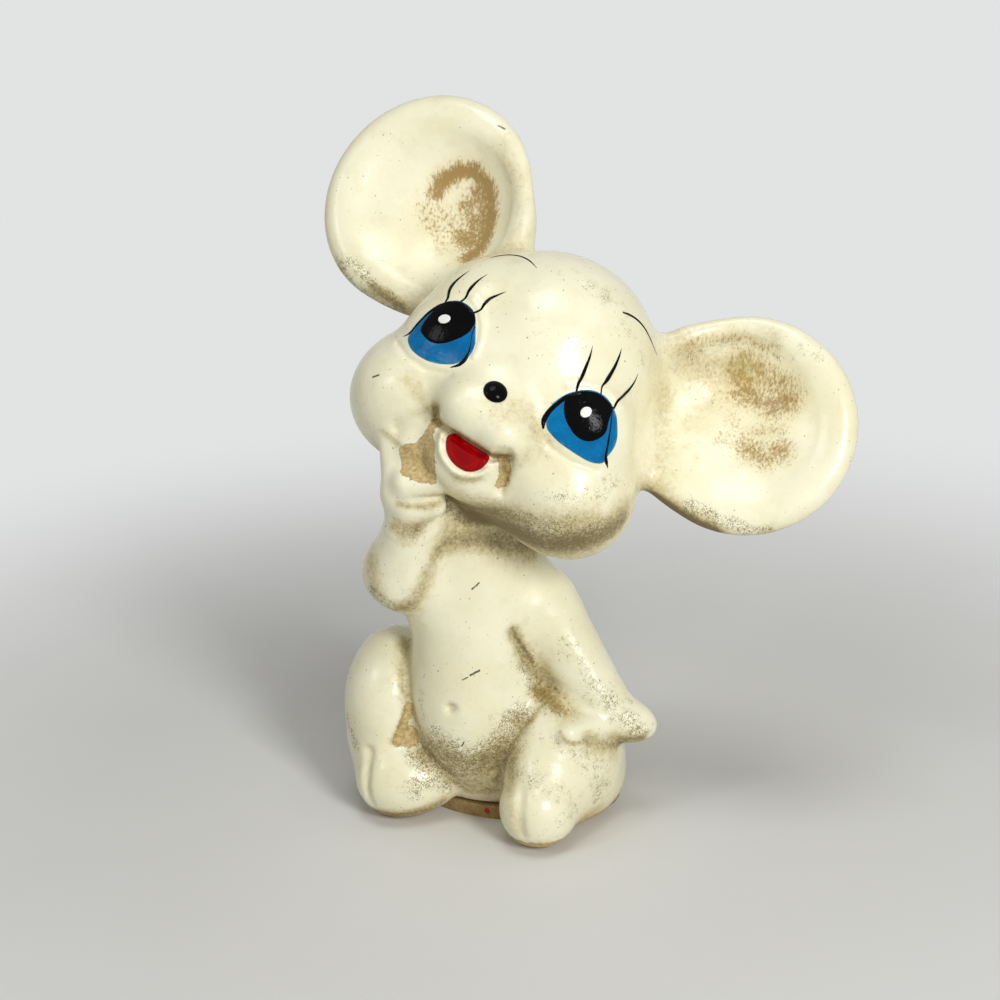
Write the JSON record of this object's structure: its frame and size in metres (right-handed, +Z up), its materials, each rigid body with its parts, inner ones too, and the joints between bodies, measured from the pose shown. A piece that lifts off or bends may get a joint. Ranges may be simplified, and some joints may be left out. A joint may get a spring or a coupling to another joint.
{
  "type": "mouse figurine",
  "caption": "Seated mouse figurine of hollow cast clay, painted cream, with big round dished ears, its head tilted and one hand at its cheek; it stands on a bare foot ring.",
  "frame": {"origin": "middle of the foot ring's underside, on the surface that the figurine stands on", "axes": "+Z up; the body faces -Y; the mouse's own left is +X"},
  "size_m": [0.0948, 0.0509, 0.1215],
  "materials": {
    "cream_paint": "glossy cream cold paint over fired clay, worn and speckled with age",
    "bare_clay": "bare tan fired clay",
    "blue_enamel": "glossy blue enamel",
    "black_enamel": "glossy black enamel",
    "white_enamel": "glossy white enamel",
    "red_enamel": "glossy red enamel"
  },
  "bodies": {
    "root": {"torso": "cream_paint", "head": "cream_paint", "left_ear": "cream_paint", "right_ear": "cream_paint", "left_arm": "cream_paint", "right_arm": "cream_paint", "left_leg": "cream_paint", "right_leg": "cream_paint", "tail": "cream_paint", "foot_ring": "bare_clay", "left_iris": "blue_enamel", "left_pupil": "black_enamel", "left_glint": "white_enamel", "left_lashes": "black_enamel", "left_brow": "black_enamel", "right_iris": "blue_enamel", "right_pupil": "black_enamel", "right_glint": "white_enamel", "right_lashes": "black_enamel", "right_brow": "black_enamel", "nose": "black_enamel", "tongue": "red_enamel"}
  },
  "joints": []
}
